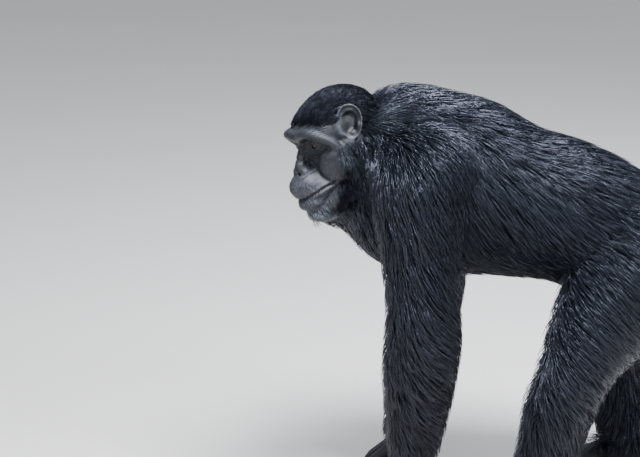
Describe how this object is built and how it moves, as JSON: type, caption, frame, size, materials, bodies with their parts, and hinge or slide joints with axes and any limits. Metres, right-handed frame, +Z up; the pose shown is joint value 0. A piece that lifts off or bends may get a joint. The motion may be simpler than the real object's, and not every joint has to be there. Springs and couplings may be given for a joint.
{
  "type": "chimpanzee",
  "caption": "Life-size still model of an adult chimpanzee walking on its knuckles, head turned to its left, with a long black coat.",
  "frame": {"origin": "on the floor, below the middle of the bounding box", "axes": "-X is where the animal walks, -Y is its left side, +Z is up"},
  "size_m": [0.8084, 0.5056, 0.7694],
  "materials": {
    "coat": "long glossy black hair",
    "skin": "matte dark bare skin",
    "eye": "wet, dark amber"
  },
  "bodies": {
    "root": {"head": "coat", "neck": "coat", "chest": "coat", "rump": "coat", "left_upper_arm": "coat", "left_forearm": "coat", "left_hand": "skin", "right_upper_arm": "coat", "right_forearm": "coat", "right_hand": "skin", "left_thigh": "coat", "left_lower_leg": "coat", "left_foot": "skin", "right_thigh": "coat", "right_lower_leg": "coat", "right_foot": "skin", "left_ear": "skin", "right_ear": "skin", "left_eye": "eye", "right_eye": "eye"}
  },
  "joints": []
}
